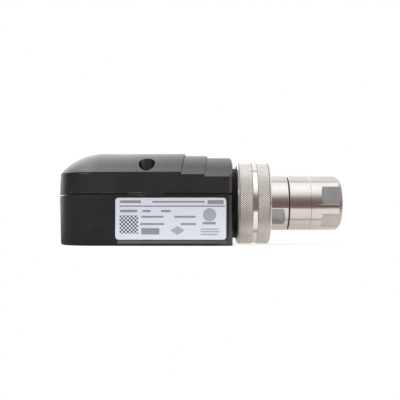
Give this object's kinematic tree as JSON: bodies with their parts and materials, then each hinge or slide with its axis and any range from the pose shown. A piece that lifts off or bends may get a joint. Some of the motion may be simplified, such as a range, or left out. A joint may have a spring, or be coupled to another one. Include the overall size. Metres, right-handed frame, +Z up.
{
  "type": "uv flame detector",
  "caption": "Flame detector in a D-shaped black plastic housing with a stepped vaulted cover, knurled union nut, quartz window and steel adapter with female burner thread.",
  "frame": {"origin": "middle of the mouth of the burner thread, on the sight axis", "axes": "+X along the sight axis towards the burner, +Z up out of the cover, -Y out of the nameplate side"},
  "size_m": [0.1473, 0.0664, 0.048],
  "materials": {
    "housing_plastic": "black moulded plastic with a fine grain and a satin sheen",
    "seal_rubber": "black rubber",
    "screw_steel": "zinc plated",
    "plate_face": "satin film, cool white",
    "turned_metal": "turned and plated, warm grey",
    "quartz": "clear polished",
    "plain_brass": "turned",
    "socket_ceramic": "unglazed",
    "board_laminate": "coated laminate",
    "core_steel": "stacked sheet",
    "coil_copper": "enamelled copper wire",
    "capacitor_can": "sleeved can",
    "terminal_plastic": "moulded",
    "gland_plastic": "black moulded plastic"
  },
  "bodies": {
    "detector": {"base_housing": "housing_plastic", "cover": "housing_plastic", "cover_gasket": "seal_rubber", "cover_screws": "screw_steel", "screw_seals": "seal_rubber", "nameplate": "plate_face", "threaded_spigot": "housing_plastic", "spigot_seal": "seal_rubber", "window_holder": "turned_metal", "window_seal": "seal_rubber", "quartz_window": "quartz", "window_retainer": "plain_brass", "flange_seal": "seal_rubber", "joint_ring": "seal_rubber", "burner_adapter": "turned_metal", "uv_tube": "quartz", "tube_pins": "plain_brass", "tube_socket": "socket_ceramic", "circuit_board": "board_laminate", "board_screws": "screw_steel", "transformer_core": "core_steel", "transformer_coil": "coil_copper", "capacitors": "capacitor_can", "terminal_block": "terminal_plastic", "terminal_screws": "screw_steel", "gland_body": "gland_plastic", "gland_washer": "seal_rubber", "gland_locknut": "gland_plastic", "gland_seal": "seal_rubber", "gland_dome": "gland_plastic"},
    "nut": {"union_nut": "turned_metal"}
  },
  "joints": [
    {"name": "nut_turn", "type": "hinge", "parent": "detector", "child": "nut", "pos_m": [-0.0455, 0, 0], "axis": [1, 0, 0], "continuous": true}
  ]
}
